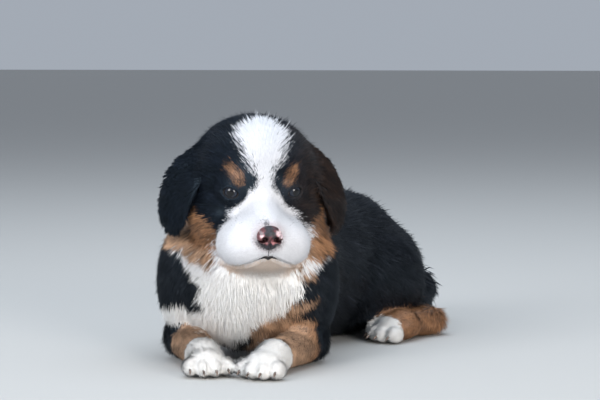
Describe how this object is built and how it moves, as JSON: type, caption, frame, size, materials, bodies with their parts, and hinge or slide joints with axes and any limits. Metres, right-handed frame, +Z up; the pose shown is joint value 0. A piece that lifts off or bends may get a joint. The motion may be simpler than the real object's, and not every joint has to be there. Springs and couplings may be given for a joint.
{
  "type": "lying bernese mountain dog puppy",
  "caption": "Life-size still model of a tricolour mountain dog puppy lying on its chest with its head up.",
  "frame": {"origin": "on the floor, under the middle of the animal's box", "axes": "+Z is up, +Y runs from the head towards the rump, +X is the animal's left side"},
  "size_m": [0.1946, 0.4076, 0.1961],
  "materials": {
    "coat_black": "soft black puppy coat",
    "coat_white": "soft white puppy coat",
    "coat_tan": "rich tan puppy coat",
    "eye": "wet dark eye",
    "nose_leather": "damp black leather with pink patches",
    "claw": "pale horn"
  },
  "bodies": {
    "root": {"claw_fore_left_1": "claw", "claw_fore_left_2": "claw", "claw_fore_left_3": "claw", "claw_fore_left_4": "claw", "claw_fore_right_1": "claw", "claw_fore_right_2": "claw", "claw_fore_right_3": "claw", "claw_fore_right_4": "claw", "claw_hind_left_1": "claw", "claw_hind_left_2": "claw", "claw_hind_left_3": "claw", "claw_hind_left_4": "claw", "claw_hind_right_1": "claw", "claw_hind_right_2": "claw", "claw_hind_right_3": "claw", "claw_hind_right_4": "claw", "ear_left": "coat_black", "ear_right": "coat_black", "eye_left": "eye", "eye_right": "eye", "forearm_left": "coat_tan", "forearm_right": "coat_tan", "forepaw_left": "coat_white", "forepaw_right": "coat_white", "head": "coat_black", "hindleg_left": "coat_black", "hindleg_right": "coat_black", "hindpaw_left": "coat_white", "hindpaw_right": "coat_white", "neck": "coat_white", "nose": "nose_leather", "tail_base": "coat_black", "tail_tip": "coat_black", "torso": "coat_black", "upperarm_left": "coat_black", "upperarm_right": "coat_black"}
  },
  "joints": []
}
